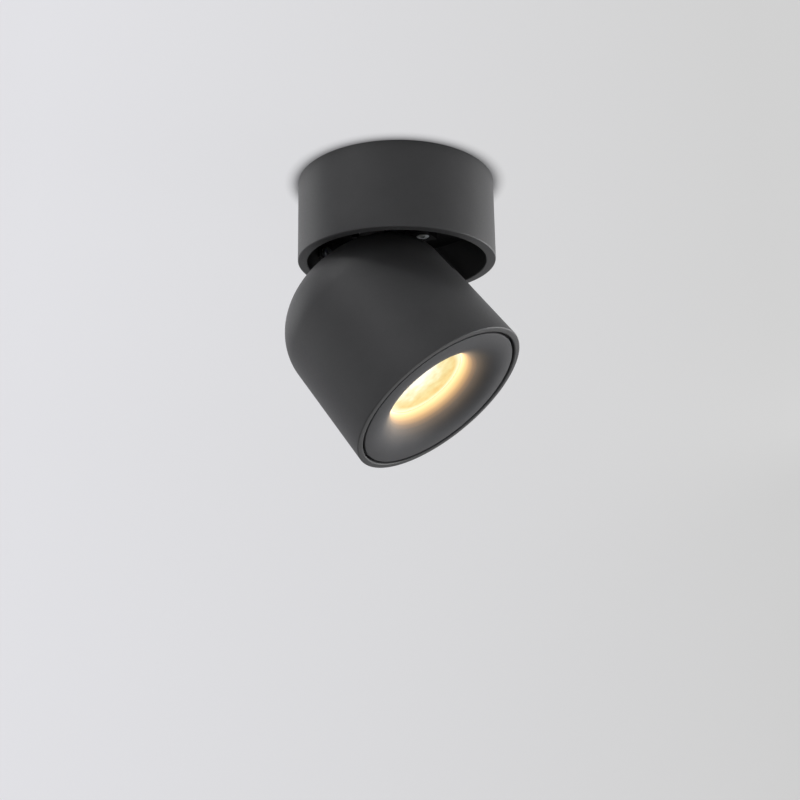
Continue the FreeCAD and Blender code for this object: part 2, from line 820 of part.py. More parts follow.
def heat_sink():
    """A cast aluminium plate with fins behind it and two ears for the tilt pin."""
    radius = head_bore - dim.sink_gap
    back = dim.sink_seat
    plate = rod(radius, dim.sink_thickness, z=sink_low)
    envelope = rod(fin_envelope, dim.fin_height, z=back)
    fins = []
    last_fin = fin_envelope - dim.last_fin_inset
    fin_pitch = (last_fin - dim.first_fin) / (FINS_A_SIDE - 1)
    for index in range(FINS_A_SIDE):
        for side in (1, -1):
            y = (dim.first_fin + fin_pitch * index) * side
            fins.append(block(fin_envelope * 2, dim.fin_thickness, dim.fin_height, y=y, z=back))
    ears = []
    ear_height = pivot_depth + dim.ear_top - back
    for side in (1, -1):
        y = (ear_inner + dim.ear_thickness / 2) * side
        ears.append(block(dim.ear_width, dim.ear_thickness, ear_height, y=y, z=back))
    bore = rod(dim.pivot_radius + dim.fit_gap, ear_outer * 4, 0, -ear_outer * 2, pivot_depth,
               ALONG["y"])
    tools = [bore]
    for angle in BOSS_ANGLES:
        x, y = polar(boss_circle, angle)
        tools.append(rod(screw_hole, dim.sink_thickness * 3, x, y, sink_low - dim.sink_thickness))
    for side in (1, -1):
        tools.append(rod(small_screw_hole, dim.sink_thickness * 3, 0,
                         holder_screw_circle * side, sink_low - dim.sink_thickness))
    return cut(fuse(plate, *ears, common(envelope, group(*fins))), *tools)


def heat_sink_screws():
    """Three screws from the front through the plate into the shell's bosses."""
    made = []
    for angle in BOSS_ANGLES:
        x, y = polar(boss_circle, angle)
        made.append(screw(dim.screw_radius, dim.boss_length, dim.screw_head_radius,
                          dim.screw_head_height, x, y, sink_low - dim.screw_head_height))
    return group(*made)


def tilt_pin():
    """The shoulder screw that the head tilts on, through both ears and the arm."""
    head = rod(dim.pivot_head_radius, dim.pivot_head_height, 0,
               -ear_outer - dim.pivot_head_height, pivot_depth, ALONG["y"])
    length = ear_outer * 2 + dim.pivot_nut_height
    shank = rod(dim.pivot_radius, length, 0, -ear_outer, pivot_depth, ALONG["y"])
    socket = hexagon(dim.socket_flats, dim.pivot_head_height / 2, 0,
                     -ear_outer - dim.pivot_head_height, pivot_depth, ALONG["y"])
    return cut(fuse(head, shank), socket)


def tilt_nut():
    """The nut that sets the hinge's friction."""
    nut = hexagon(dim.pivot_nut_flats, dim.pivot_nut_height, 0, ear_outer, pivot_depth,
                  ALONG["y"])
    bore = rod(dim.pivot_radius + dim.fit_gap, dim.pivot_nut_height * 2, 0,
               ear_outer - dim.pivot_nut_height / 2, pivot_depth, ALONG["y"])
    return cut(nut, bore)


def tilt_washers():
    """A friction washer on each side of the arm."""
    made = []
    for side in (1, -1):
        middle = (dim.arm_thickness / 2 + dim.fit_gap + dim.shim_thickness / 2) * side
        low = middle - dim.shim_thickness / 2
        outer = rod(dim.arm_width / 2, dim.shim_thickness, 0, low, pivot_depth, ALONG["y"])
        bore = rod(dim.pivot_radius + dim.fit_gap, dim.shim_thickness * 3, 0,
                   low - dim.shim_thickness, pivot_depth, ALONG["y"])
        made.append(cut(outer, bore))
    return group(*made)


ear_inner = dim.arm_thickness / 2 + dim.shim_thickness + dim.fit_gap * 2
ear_outer = ear_inner + dim.ear_thickness
keep_in_head("head_shell", head_shell())
keep_in_head("heat_sink", heat_sink())
keep_in_head("heat_sink_screws", heat_sink_screws())
keep_in_head("tilt_pin", tilt_pin())
keep_in_head("tilt_nut", tilt_nut())
keep_in_head("tilt_washers", tilt_washers())

# ---------------------------------------------------------------- light engine

chip_low = sink_low - dim.chip_thickness
emitter_low = chip_low - dim.emitter_thickness
holder_low = sink_low - dim.holder_thickness


def chip_board():
    """The chip's ceramic board, flat on the heat sink."""
    return group(block(dim.chip_side, dim.chip_side, dim.chip_thickness, z=chip_low))


def chip_holder():
    """A white moulded frame that clamps the chip board to the heat sink."""
    ring_body = rod(dim.holder_radius, dim.holder_thickness, z=holder_low)
    window = rod(dim.holder_window, dim.holder_thickness * 3, z=holder_low - dim.holder_thickness)
    side = dim.chip_side + dim.fit_gap * 2
    pocket = block(side, side, dim.holder_thickness, z=chip_low)
    tools = [window, pocket]
    for way in (1, -1):
        tools.append(rod(small_screw_hole, dim.holder_thickness * 3, 0,
                         holder_screw_circle * way, holder_low - dim.holder_thickness))
    return cut(ring_body, *tools)


def holder_screws():
    """Two small screws through the holder into the heat sink."""
    made = []
    length = dim.holder_thickness + dim.sink_thickness
    for way in (1, -1):
        made.append(screw(dim.small_screw_radius, length, dim.small_head_radius,
                          dim.small_head_height, 0, holder_screw_circle * way,
                          holder_low - dim.small_head_height))
    return group(*made)


keep_in_head("chip_board", chip_board())
keep_in_head("chip_emitter", disc("emitter", dim.emitter_radius, emitter_low, chip_low))
keep_in_head("chip_holder", chip_holder())
keep_in_head("holder_screws", holder_screws())

# ---------------------------------------------------------------- optics and trim

bow_middle = dim.trim_recess + dim.throat_bow
throat_low = dim.trim_recess + dim.throat_depth
trim_fit = head_bore - dim.fit_gap
trim_face = head_bore - dim.trim_groove
trim_land = trim_face - dim.land_width
throat_radius = trim_land - root(dim.throat_bow * dim.throat_bow
                                 - (bow_middle - throat_low) * (bow_middle - throat_low))
lens_radius = throat_radius + dim.lens_lap
lens_low = throat_low + dim.lip_length
lens_top = lens_low + dim.lens_thickness
gasket_top = lens_top + dim.gasket_thickness
collar_inner = lens_radius + dim.fit_gap
collar_outer = collar_inner + dim.collar_wall
back_bow = dim.throat_bow - dim.trim_wall
collar_root = bow_middle - root(back_bow * back_bow
                                - (trim_land - collar_outer) * (trim_land - collar_outer))
snap_inner = trim_fit - dim.snap_ring_side / 2


def glare_trim():
    """The dark ring at the face: a flat land, a curved throat, a lens collar and a skirt."""
    skirt_inner = trim_face - dim.trim_wall
    land_back = dim.trim_recess + dim.trim_wall
    shoulder = dim.trim_recess + dim.groove_depth
    skirt_end = dim.trim_recess + dim.trim_skirt
    return turned("trim", [
        (trim_face, dim.trim_recess),
        (trim_face, shoulder),
        (trim_fit, shoulder),
        (trim_fit, dim.snap_ring_depth),
        (snap_inner, dim.snap_ring_depth),
        (snap_inner, snap_high),
        (trim_fit, snap_high),
        (trim_fit, skirt_end),
        (skirt_inner, skirt_end),
        (skirt_inner, land_back),
        (trim_land, land_back, back_bow, -1),
        (collar_outer, collar_root),
        (collar_outer, gasket_top),
        (collar_inner, gasket_top),
        (collar_inner, lens_low),
        (throat_radius, lens_low),
        (throat_radius, throat_low, dim.throat_bow, 1),
        (trim_land, dim.trim_recess),
    ])


def trim_snap_ring():
    """A sprung wire ring that holds the trim in the shell; it is open at one side."""
    low = dim.snap_ring_depth + dim.fit_gap
    hoop = ring("snap", snap_inner + dim.fit_gap, snap_inner + dim.snap_ring_side, low,
                low + dim.snap_ring_side)
    opening = block(head_bore, dim.snap_ring_opening, dim.snap_ring_side * 3,
                    x=-head_bore, z=low - dim.snap_ring_side)
    return cut(hoop, opening)


def reflector():
    """A spun metal cone from the chip window up to the lens, with a rim on the collar."""
    wall = dim.reflector_wall
    mouth = lens_radius - dim.gasket_width
    rim_top = gasket_top + wall
    return turned("reflector", [
        (mouth, gasket_top),
        (collar_outer, gasket_top),
        (collar_outer, rim_top),
        (mouth + wall / 2, rim_top),
        (dim.holder_window + wall, holder_low),
        (dim.holder_window, holder_low),
    ])


keep_in_head("reflector", reflector())
keep_in_head("lens_gasket", ring("gasket", lens_radius - dim.gasket_width, lens_radius,
                                 lens_top, gasket_top))
keep_in_head("glass_lens", disc("lens", lens_radius, lens_low, lens_top))
keep_in_head("glare_trim", glare_trim())
keep_in_head("trim_snap_ring", trim_snap_ring())

# ---------------------------------------------------------------- check and write

doc.recompute()
faults = []
for thing in doc.Objects:
    if "Invalid" in thing.State or "Error" in thing.State:
        faults.append(f"{thing.Name} {thing.Label}: {thing.State}")
for name, piece in nodes.items():
    if piece.Shape.isNull() or not piece.Shape.isValid() or not piece.Shape.Solids:
        faults.append(f"{name}: its shape is not a valid solid")
if faults:
    raise SystemExit("\n".join(faults))

os.makedirs("parts", exist_ok=True)
for name, piece in nodes.items():
    piece.Shape.exportStep(os.path.join("parts", f"{name}.step"))
print(len(nodes), "sub-parts written")
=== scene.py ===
import json
import math

import bmesh
import bpy
from mathutils import Matrix, Vector

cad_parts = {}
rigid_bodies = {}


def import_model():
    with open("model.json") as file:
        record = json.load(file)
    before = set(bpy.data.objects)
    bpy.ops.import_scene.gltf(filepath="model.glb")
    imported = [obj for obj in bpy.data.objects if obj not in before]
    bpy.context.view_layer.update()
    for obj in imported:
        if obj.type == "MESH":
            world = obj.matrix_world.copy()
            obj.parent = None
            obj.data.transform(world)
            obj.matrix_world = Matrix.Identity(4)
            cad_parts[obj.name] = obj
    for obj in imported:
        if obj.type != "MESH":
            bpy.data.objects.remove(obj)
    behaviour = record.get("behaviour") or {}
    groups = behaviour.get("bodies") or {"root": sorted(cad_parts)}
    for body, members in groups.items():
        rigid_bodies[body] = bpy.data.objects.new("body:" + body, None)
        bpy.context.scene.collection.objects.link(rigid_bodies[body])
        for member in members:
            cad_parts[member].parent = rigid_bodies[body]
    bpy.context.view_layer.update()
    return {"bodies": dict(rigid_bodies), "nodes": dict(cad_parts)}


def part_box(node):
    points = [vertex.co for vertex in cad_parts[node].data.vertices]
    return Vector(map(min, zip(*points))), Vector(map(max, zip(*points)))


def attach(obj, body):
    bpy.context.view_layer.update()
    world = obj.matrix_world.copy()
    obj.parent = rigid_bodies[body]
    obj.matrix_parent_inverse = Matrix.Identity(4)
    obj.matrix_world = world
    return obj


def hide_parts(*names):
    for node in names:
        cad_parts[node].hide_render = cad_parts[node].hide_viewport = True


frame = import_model()
node = frame["nodes"]

# ---------------------------------------------------------------- ceiling plate, standoffs
# The slotted plate that is screwed to the ceiling, with its two threaded standoffs.
# Both are zinc plated steel: the plate is stamped, the standoffs are turned and riveted in.

MM = 0.001


def tone(red, green, blue):
    """A colour named by its screen values from 0 to 255, through the screen's own curve."""
    parts = (red, green, blue)
    return tuple(((c / 255 + 0.055) / 1.055) ** 2.4 if c > 10 else c / 3295 for c in parts) + (1.0,)


class Finish:
    """A material under construction: its shader, and short ways to add texture nodes to it."""

    def __init__(self, name, colour, roughness, metallic=0.0, specular=0.5):
        self.material = bpy.data.materials.new(name)
        self.material.use_nodes = True
        self.tree = self.material.node_tree
        self.shader = self.tree.nodes["Principled BSDF"]
        self.shader.inputs["Base Color"].default_value = colour
        self.shader.inputs["Roughness"].default_value = roughness
        self.shader.inputs["Metallic"].default_value = metallic
        self.shader.inputs["Specular IOR Level"].default_value = specular
        self.place = self.add("ShaderNodeTexCoord").outputs["Object"]

    def add(self, kind, **settings):
        made = self.tree.nodes.new(kind)
        for key, value in settings.items():
            setattr(made, key, value)
        return made

    def link(self, source, target):
        self.tree.links.new(source, target)

    def stretched(self, x, y, z):
        """The place on the piece, squeezed or stretched along each axis."""
        mapping = self.add("ShaderNodeMapping")
        mapping.inputs["Scale"].default_value = (x, y, z)
        self.link(self.place, mapping.inputs["Vector"])
        return mapping.outputs["Vector"]

    def noise(self, per_metre, detail=2.0, place=None):
        made = self.add("ShaderNodeTexNoise")
        made.inputs["Scale"].default_value = per_metre
        made.inputs["Detail"].default_value = detail
        self.link(place or self.place, made.inputs["Vector"])
        return made.outputs["Fac"]

    def ramp(self, source, *stops):
        made = self.add("ShaderNodeValToRGB")
        band = made.color_ramp
        while len(band.elements) < len(stops):
            band.elements.new(0.5)
        for element, (position, colour) in zip(band.elements, stops):
            element.position = position
            element.color = colour
        self.link(source, made.inputs["Fac"])
        return made.outputs["Color"]

    def span(self, source, low, high):
        made = self.add("ShaderNodeMapRange")
        made.inputs["To Min"].default_value = low
        made.inputs["To Max"].default_value = high
        self.link(source, made.inputs["Value"])
        return made.outputs["Result"]

    def math(self, operation, first, second=None):
        made = self.add("ShaderNodeMath", operation=operation)
        for socket, value in zip(made.inputs, (first, second)):
            if isinstance(value, (int, float)):
                socket.default_value = value
            elif value is not None:
                self.link(value, socket)
        return made.outputs["Value"]

    def colour(self, source):
        self.link(source, self.shader.inputs["Base Color"])

    def roughness(self, source):
        self.link(source, self.shader.inputs["Roughness"])

    def bump(self, source, height, strength=1.0):
        made = self.add("ShaderNodeBump")
        made.inputs["Distance"].default_value = height
        made.inputs["Strength"].default_value = strength
        self.link(source, made.inputs["Height"])
        self.link(made.outputs["Normal"], self.shader.inputs["Normal"])


def coat(material, *names):
    """Give CAD nodes their finish."""
    for name in names:
        slots = node[name].data.materials
        slots.clear()
        slots.append(material)


def zinc_plating():
    """Bright zinc: a fine grain, with the faint blue and straw clouds of passivation."""
    finish = Finish("zinc_plating", tone(190, 193, 198), 0.3, metallic=1.0)
    clouds = finish.noise(160, detail=3)
    finish.colour(finish.ramp(clouds, (0.3, tone(176, 184, 196)), (0.7, tone(203, 202, 192))))
    grain = finish.noise(5200, detail=1)
    finish.roughness(finish.span(finish.noise(900), 0.24, 0.42))
    finish.bump(grain, 0.02 * MM)
    return finish.material


zinc = zinc_plating()
coat(zinc, "mounting_plate", "plate_standoffs")

# ---------------------------------------------------------------- cable grommet
# A soft black rubber ring pressed into the plate's centre hole, where the mains cable enters.
# It is moulded, so it has a fine matte skin.


def soft_rubber():
    finish = Finish("black_rubber", tone(30, 30, 31), 0.8, specular=0.3)
    finish.colour(finish.ramp(finish.noise(300), (0.35, tone(24, 24, 25)), (0.7, tone(38, 38, 39))))
    finish.bump(finish.noise(3000), 0.03 * MM)
    return finish.material


coat(soft_rubber(), "cable_grommet")

# ---------------------------------------------------------------- canopy housing
# The round canopy is a length of turned aluminium tube with its rims broken by a small radius.
# It has a fine matte charcoal powder coat inside and out, and slides up over the ceiling plate.

AROUND = 256                     # facets round a large turned piece
ROUNDING = 8                     # steps in a small rounded edge


def skin(name, body, rings, material, closed=True, smooth_under=38):
    """A mesh through rings of points. A closed piece also joins its last ring to its first."""
    mesh = bmesh.new()
    rows = [[mesh.verts.new(point) for point in ring] for ring in rings]
    count = len(rings[0])
    pairs = list(zip(rows, rows[1:] + rows[:1])) if closed else list(zip(rows, rows[1:]))
    for low, high in pairs:
        for step in range(count):
            following = (step + 1) % count
            mesh.faces.new((low[step], low[following], high[following], high[step]))
    return finish_mesh(name, body, mesh, material, smooth_under)


def finish_mesh(name, body, mesh, material, smooth_under=38):
    """Turn a bmesh into a piece with a finish, riding on its body."""
    bmesh.ops.remove_doubles(mesh, verts=mesh.verts, dist=1e-7)
    bmesh.ops.recalc_face_normals(mesh, faces=mesh.faces)
    data = bpy.data.meshes.new(name)
    mesh.to_mesh(data)
    mesh.free()
    piece = bpy.data.objects.new(name, data)
    bpy.context.scene.collection.objects.link(piece)
    data.materials.append(material)
    data.shade_smooth()
    data.set_sharp_from_angle(angle=math.radians(smooth_under))
    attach(piece, body)
    return piece


def circle(radius, height, count=AROUND):
    """A ring of points about the axis. A radius of 0 still gives a ring, which is then merged."""
    return [Vector((radius * math.cos(math.tau * k / count),
                    radius * math.sin(math.tau * k / count), height)) for k in range(count)]


def arc(centre, radius, start, end, steps=ROUNDING):
    """Points of a half section along an arc, its angles in degrees."""
    made = []
    for k in range(steps + 1):
        angle = math.radians(start + (end - start) * k / steps)
        made.append((centre[0] + radius * math.cos(angle), centre[1] + radius * math.sin(angle)))
    return made


def lathe(name, body, section, material, place=Matrix(), count=AROUND, smooth_under=38):
    """A turned piece from its half section of (radius, height), set in place."""
    rings = [[place @ point for point in circle(radius, height, count)]
             for radius, height in section]
    return skin(name, body, rings, material, smooth_under=smooth_under)


def powder_coat(name, colour, paler, grain_height):
    """A fine matte powder coat: an even grain, a slight mottle and a soft sheen."""
    finish = Finish(name, colour, 0.5, specular=0.5)
    mottle = finish.noise(90, detail=4)
    finish.colour(finish.ramp(mottle, (0.3, colour), (0.75, paler)))
    finish.roughness(finish.span(finish.noise(1400), 0.46, 0.6))
    coarse = finish.noise(2600, detail=3)
    fine = finish.noise(7000, detail=1)
    both = finish.math("ADD", coarse, finish.math("MULTIPLY", fine, 0.4))
    finish.bump(both, grain_height)
    return finish


charcoal = powder_coat("charcoal_coat", tone(58, 58, 59), tone(63, 63, 64), 0.02 * MM).material
canopy_low, canopy_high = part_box("canopy_housing")
CANOPY_RADIUS = 40 * MM
CANOPY_WALL = 3.8 * MM
CANOPY_RIM = 0.5 * MM
canopy_bore = CANOPY_RADIUS - CANOPY_WALL
canopy_section = (
    arc((canopy_bore + CANOPY_RIM, canopy_low.z + CANOPY_RIM), CANOPY_RIM, 180, 270)
    + arc((CANOPY_RADIUS - CANOPY_RIM, canopy_low.z + CANOPY_RIM), CANOPY_RIM, 270, 360)
    + [(CANOPY_RADIUS, canopy_low.z + (canopy_high.z - canopy_low.z) * k / 6) for k in range(1, 6)]
    + [(CANOPY_RADIUS, canopy_high.z), (canopy_bore, canopy_high.z)]
)
canopy = lathe("canopy_tube", "canopy", canopy_section, charcoal)
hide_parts("canopy_housing")

# ---------------------------------------------------------------- base plate and stop pin
# A pressed steel plate closes the canopy above the cavity, with a bent tab at each side. Its
# black coat is painted shade, so that the cavity reads as a dark hole. A riveted pin in it stops the
# swivel.


def black_coating_for_shade():
    finish = Finish("black_coating_for_shade", tone(22, 22, 23), 0.65, specular=0.3)
    finish.colour(finish.ramp(finish.noise(200), (0.3, tone(18, 18, 19)), (0.75, tone(27, 27, 28))))
    finish.roughness(finish.span(finish.noise(1100), 0.55, 0.75))
    finish.bump(finish.noise(4000), 0.015 * MM)
    return finish.material


black_for_shade = black_coating_for_shade()
coat(black_for_shade, "base_plate", "stop_pin")

# ---------------------------------------------------------------- screws
# Zinc plated cap screws with a crowned head, a hexagon socket and a rolled thread. One in each
# tab holds the base plate in the canopy, two long ones hold the canopy to the standoffs.

THREAD_SIDES = 24
THREAD_STEPS = 6                 # rings in one turn of thread
THREAD_DEPTH = 0.32              # as a share of the pitch
TIP_LENGTH = 0.35                # of the tapered tip, as a share of the shank's radius
SOCKET_DEPTH = 0.55              # as a share of the head's height


def screw_rings(radius, length, head_radius, head_height, pitch, flats):
    """Rings of points for one screw, its head at height 0 and its shank along +Z."""
    sides = THREAD_SIDES * 2
    crown = min(head_height * 0.35, head_radius * 0.3)
    depth = head_height * SOCKET_DEPTH

    def hexagon(across, height):
        made = []
        for k in range(sides):
            angle = math.tau * k / sides
            turn = (angle + math.pi / 6) % (math.pi / 3) - math.pi / 6
            reach = across / 2 / math.cos(turn)
            made.append(Vector((reach * math.cos(angle), reach * math.sin(angle), height)))
        return made

    rings = [circle(0, depth, sides), hexagon(flats, depth), hexagon(flats, 0.0)]
    for out, up in arc((head_radius - crown, crown), crown, 270, 180, 5):
        rings.append(circle(2 * (head_radius - crown) - out, up, sides))
    rings += [circle(head_radius, head_height, sides), circle(radius, head_height, sides)]
    count = max(4, round(length / pitch * THREAD_STEPS))
    tip = radius * TIP_LENGTH
    for k in range(1, count + 1):
        up = length * k / count
        ring = []
        for step in range(sides):
            turn = step / sides
            wave = abs(((up / pitch + turn) % 1.0) * 2 - 1)
            fade = min(1.0, up / pitch, (length - up) / tip)
            reach = radius - wave * pitch * THREAD_DEPTH * max(0.0, fade)
            reach -= max(0.0, tip - (length - up)) * 0.6
            angle = math.tau * turn
            ring.append(Vector((reach * math.cos(angle), reach * math.sin(angle),
                                head_height + up)))
        rings.append(ring)
    rings.append(circle(0, head_height + length, sides))
    return rings


def screws(name, body, places, size, material):
    """A set of like screws as one piece. A place is the matrix that sets a screw down."""
    mesh = bmesh.new()
    for place in places:
        rows = [[mesh.verts.new(place @ point) for point in ring] for ring in screw_rings(*size)]
        for low, high in zip(rows, rows[1:]):
            for step in range(len(low)):
                following = (step + 1) % len(low)
                mesh.faces.new((low[step], low[following], high[following], high[step]))
    piece = finish_mesh(name, body, mesh, material)
    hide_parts(name)
    return piece


SCREW = 1.5 * MM                 # shank radius of an M3 screw
SCREW_HEAD = 2.75 * MM
SCREW_HEAD_HEIGHT = 1.8 * MM
SCREW_PITCH = 0.5 * MM
SOCKET = 2.0 * MM
TAB_SCREW_DROP = 21.5 * MM
TAB_THICKNESS = 1.2 * MM
BLIND_HOLE = 2.6 * MM
TAB_ANGLES = (0, 180)            # where the base plate's tabs are, in degrees

fit = 0.05 * MM
tab_face = canopy_bore - fit - TAB_THICKNESS
head_seat = math.sqrt(tab_face ** 2 - SCREW_HEAD ** 2)
tab_screw_places = [
    Matrix.Rotation(math.radians(angle), 4, "Z")
    @ Matrix.Translation((head_seat - SCREW_HEAD_HEIGHT, 0, -TAB_SCREW_DROP))
    @ Matrix.Rotation(math.radians(90), 4, "Y")
    for angle in TAB_ANGLES
]
tab_size = (SCREW, TAB_THICKNESS + BLIND_HOLE, SCREW_HEAD, SCREW_HEAD_HEIGHT, SCREW_PITCH, SOCKET)
screws("tab_screws", "canopy", tab_screw_places, tab_size, zinc)

long_low, long_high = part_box("canopy_screws")
STANDOFF_CIRCLE = 28 * MM
STANDOFF_ANGLE = 48
long_places = [
    Matrix.Rotation(math.radians(STANDOFF_ANGLE + turn), 4, "Z")
    @ Matrix.Translation((STANDOFF_CIRCLE, 0, long_low.z))
    for turn in (0, 180)
]
long_size = (SCREW, long_high.z - long_low.z - SCREW_HEAD_HEIGHT, SCREW_HEAD, SCREW_HEAD_HEIGHT,
             SCREW_PITCH, SOCKET)
screws("canopy_screws", "canopy", long_places, long_size, zinc)

# ---------------------------------------------------------------- driver and terminals
# The driver stands on the base plate behind an insulating film: a green circuit board with a wound
# transformer and two capacitors, on nylon sleeves. The mains terminal is a white moulding.


def circuit_board():
    """Green solder mask over an even pattern of tracks."""
    finish = Finish("circuit_board", tone(24, 84, 52), 0.35)
    tracks = finish.add("ShaderNodeTexBrick", offset=0.5)
    tracks.inputs["Scale"].default_value = 240
    tracks.inputs["Mortar Size"].default_value = 0.09
    tracks.inputs["Color1"].default_value = tone(22, 78, 48)
    tracks.inputs["Color2"].default_value = tone(26, 90, 56)
    tracks.inputs["Mortar"].default_value = tone(52, 122, 78)
    finish.link(finish.place, tracks.inputs["Vector"])
    finish.colour(tracks.outputs["Color"])
    finish.bump(tracks.outputs["Fac"], 0.03 * MM)
    return finish.material


def moulded(name, colour, shade, roughness, grain=0.01 * MM):
    """A moulded plastic with a slight flow mottle and a fine eroded skin."""
    finish = Finish(name, colour, roughness)
    finish.colour(finish.ramp(finish.noise(150, detail=3), (0.3, shade), (0.75, colour)))
    finish.roughness(finish.span(finish.noise(1200), roughness - 0.05, roughness + 0.08))
    finish.bump(finish.noise(3600), grain)
    return finish.material


def wound_core():
    """A dark ferrite core with bands of yellow tape."""
    finish = Finish("ferrite", tone(38, 38, 40), 0.6)
    bands = finish.add("ShaderNodeTexWave", wave_type="BANDS", bands_direction="Y")
    bands.inputs["Scale"].default_value = 95
    bands.inputs["Distortion"].default_value = 0.6
    finish.link(finish.place, bands.inputs["Vector"])
    finish.colour(finish.ramp(bands.outputs["Fac"], (0.42, tone(40, 40, 42)), (0.5, tone(196, 160, 58))))
    finish.bump(finish.noise(2400), 0.02 * MM)
    return finish.material


def shrink_sleeve():
    """A capacitor's dark sleeve with one pale stripe along it."""
    finish = Finish("capacitor_sleeve", tone(28, 32, 52), 0.25)
    parts = finish.add("ShaderNodeSeparateXYZ")
    finish.link(finish.place, parts.inputs["Vector"])
    stripe = finish.math("PINGPONG", parts.outputs["Y"], 2.4 * MM)
    finish.colour(finish.ramp(finish.math("MULTIPLY", stripe, 1 / (2.4 * MM)),
                              (0.8, tone(28, 32, 52)), (0.86, tone(190, 192, 196))))
    finish.bump(finish.noise(1500), 0.01 * MM)
    return finish.material


def plain_brass():
    finish = Finish("brass", tone(206, 172, 96), 0.3, metallic=1.0)
    finish.colour(finish.ramp(finish.noise(400), (0.3, tone(196, 158, 84)), (0.7, tone(216, 184, 112))))
    finish.bump(finish.noise(5000, place=finish.stretched(1, 6, 1)), 0.01 * MM)
    return finish.material


nylon = moulded("nylon", tone(226, 223, 212), tone(214, 210, 198), 0.45)
white_moulding = moulded("white_moulding", tone(232, 232, 228), tone(222, 222, 217), 0.5)
coat(moulded("insulating_film", tone(198, 190, 150), tone(186, 178, 138), 0.3), "insulation_sheet")
coat(circuit_board(), "driver_board")
coat(nylon, "driver_spacers", "swivel_friction_washer", "tilt_washers")
coat(wound_core(), "driver_transformer")
coat(shrink_sleeve(), "driver_capacitors")
coat(white_moulding, "terminal_block")
coat(plain_brass(), "terminal_screws")
coat(zinc, "driver_screws")

# ---------------------------------------------------------------- swivel
# A hollow threaded stud hangs the turntable from the base plate. A nut over a wave spring presses it
# against a nylon friction washer, so the lamp turns stiffly and stays where it is put.

STUD_SIDES = 64
STUD_THREAD_DEPTH = 0.35         # as a share of the pitch


def threaded_tube(name, low, high, outer, inner, pitch):
    """A hollow stud with a thread all along its outside."""
    rings = [circle(inner, low, STUD_SIDES)]
    count = round((high - low) / pitch * THREAD_STEPS)
    for k in range(count + 1):
        up = low + (high - low) * k / count
        ring = []
        for step in range(STUD_SIDES):
            turn = step / STUD_SIDES
            wave = abs((((up - low) / pitch + turn) % 1.0) * 2 - 1)
            edge = min(1.0, (up - low) / pitch, (high - up) / pitch)
            reach = outer - pitch * STUD_THREAD_DEPTH * (1 - edge + wave * edge)
            angle = math.tau * turn
            ring.append(Vector((reach * math.cos(angle), reach * math.sin(angle), up)))
        rings.append(ring)
    rings.append(circle(inner, high, STUD_SIDES))
    return skin(name, "swivel", rings, zinc)


def spring_steel():
    finish = Finish("spring_steel", tone(128, 130, 134), 0.35, metallic=1.0)
    finish.colour(finish.ramp(finish.noise(260),
                              (0.3, tone(112, 116, 124)), (0.75, tone(146, 143, 136))))
    finish.roughness(finish.span(finish.noise(2200), 0.28, 0.45))
    finish.bump(finish.noise(4200, place=finish.stretched(1, 1, 8)), 0.01 * MM)
    return finish.material


stud_low, stud_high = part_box("swivel_stud")
STUD_RADIUS = 5 * MM
STUD_BORE = 3.2 * MM
STUD_PITCH = 1.0 * MM
stud = threaded_tube("stud_tube", stud_low.z, stud_high.z, STUD_RADIUS, STUD_BORE, STUD_PITCH)
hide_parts("swivel_stud")

wave_low, wave_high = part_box("swivel_wave_spring")
WAVE_OUTER = 8.5 * MM
WAVE_STRIP = 0.35 * MM
WAVES = 3
wave_rings = []
for reach, lift in ((STUD_RADIUS + fit, 0.0), (WAVE_OUTER, 0.0), (WAVE_OUTER, WAVE_STRIP),
                    (STUD_RADIUS + fit, WAVE_STRIP)):
    swing = (wave_high.z - wave_low.z - WAVE_STRIP) / 2
    ring = circle(reach, wave_low.z + lift + swing, AROUND // 2)
    for step, point in enumerate(ring):
        point.z += swing * math.cos(math.tau * WAVES * step / len(ring))
    wave_rings.append(ring)
springy = spring_steel()
wave_spring = skin("wave_ring", "swivel", wave_rings, springy)
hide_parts("swivel_wave_spring")
coat(zinc, "swivel_nut", "swivel_washer")
# the same black, as painted shade in the cavity
coat(black_for_shade, "turntable", "hinge_arm")

foot_low, foot_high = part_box("arm_screws")
FOOT_SCREW = 8 * MM
foot_places = [Matrix.Translation((side * FOOT_SCREW, FOOT_SCREW, foot_low.z)) for side in (1, -1)]
FOOT_HEAD_HEIGHT = 1.44 * MM
foot_size = (SCREW, foot_high.z - foot_low.z - FOOT_HEAD_HEIGHT, SCREW_HEAD, FOOT_HEAD_HEIGHT,
             SCREW_PITCH, SOCKET)
screws("arm_screws", "swivel", foot_places, foot_size, zinc)

# ---------------------------------------------------------------- head shell
# The head is a deep turned aluminium cup with a rounded back, in the canopy's charcoal coat.
# The back has a slot for the arm, and three bosses inside take the heat sink's screws.

TILT = math.radians(39)
PIVOT_DROP = 68.4037 * MM
PIVOT_DEPTH = 29.4 * MM
head_place = (Matrix.Translation((0, 0, -PIVOT_DROP))
              @ Matrix.Rotation(-TILT, 4, "Y")
              @ Matrix.Translation((0, 0, -PIVOT_DEPTH)))
HEAD_RADIUS = 38 * MM
HEAD_SIDE = 47 * MM
DOME_BOW = 23.5 * MM
HEAD_BORE = 35.55 * MM
SHELL_WALL = 4 * MM
SINK_SEAT = 24 * MM
HEAD_RIM = 0.5 * MM
ARM_SLOT_WIDTH = 4.5 * MM
ARM_SLOT_START = 35.454 * MM
ARM_SLOT_REACH = 6 * MM          # past the axis, on the side away from the slot
BOSS_RADIUS = 3 * MM
BOSS_CIRCLE = 31.65 * MM
THIRDS = (60, 180, 300)          # where the bosses sit round the head's axis, in degrees
BOSS_LENGTH = 10 * MM
SNAP_DEPTH = 6 * MM
SNAP_WIDTH = 0.9 * MM
SNAP_GROOVE = 0.4 * MM
DOME_STEPS = 40


